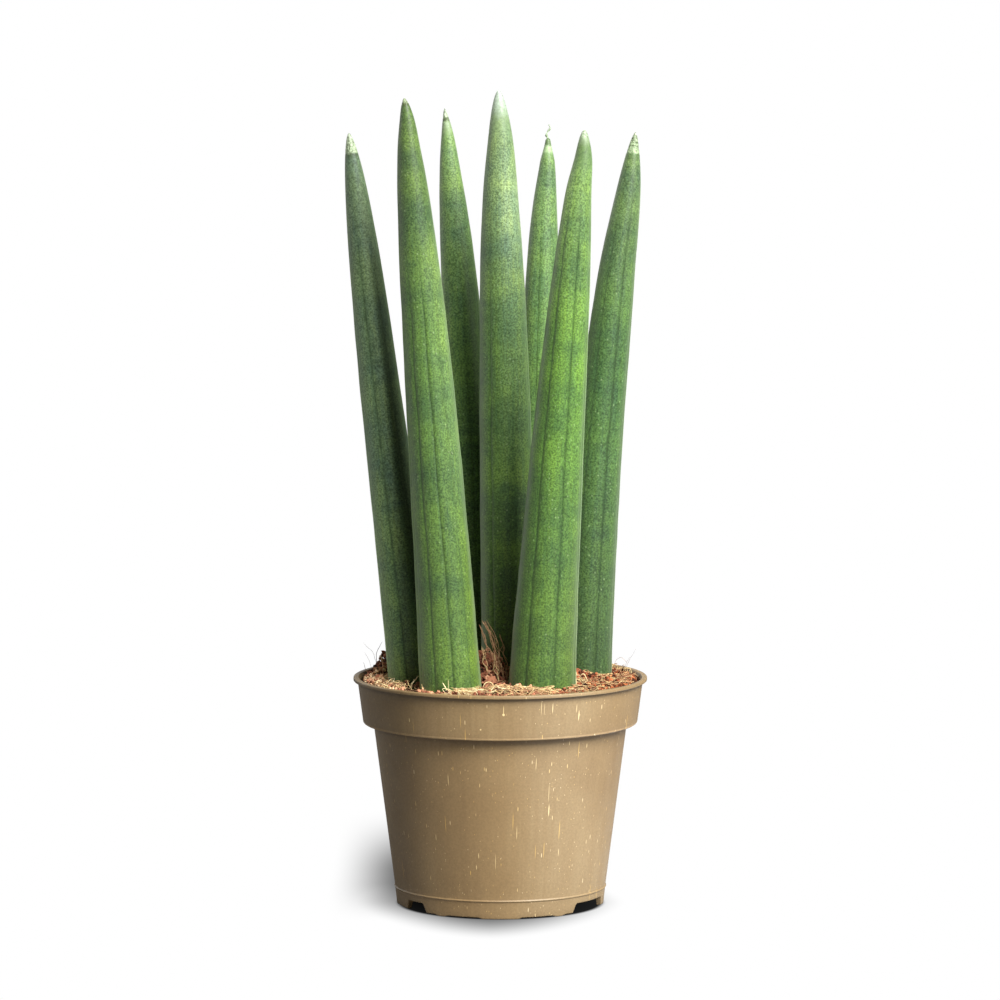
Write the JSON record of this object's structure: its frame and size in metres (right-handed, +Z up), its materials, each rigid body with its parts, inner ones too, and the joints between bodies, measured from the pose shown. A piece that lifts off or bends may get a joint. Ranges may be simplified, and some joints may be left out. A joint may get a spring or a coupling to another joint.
{
  "type": "potted snake plant",
  "caption": "Cylindrical snake plant: upright fluted spear leaves in a round collared nursery pot filled with coir crumbs.",
  "frame": {"origin": "middle of the pot's base, on the surface that it stands on", "axes": "+Z up along the pot's axis, -Y towards the viewer of the front, +X to that viewer's right"},
  "size_m": [0.1228, 0.12, 0.3326],
  "materials": {
    "pot_plastic": "satin",
    "coir": "matte",
    "leaf": "satin"
  },
  "bodies": {
    "root": {"pot": "pot_plastic", "growing_medium": "coir", "leaf_1": "leaf", "leaf_2": "leaf", "leaf_3": "leaf", "leaf_4": "leaf", "leaf_5": "leaf", "leaf_6": "leaf", "leaf_7": "leaf"}
  },
  "joints": []
}
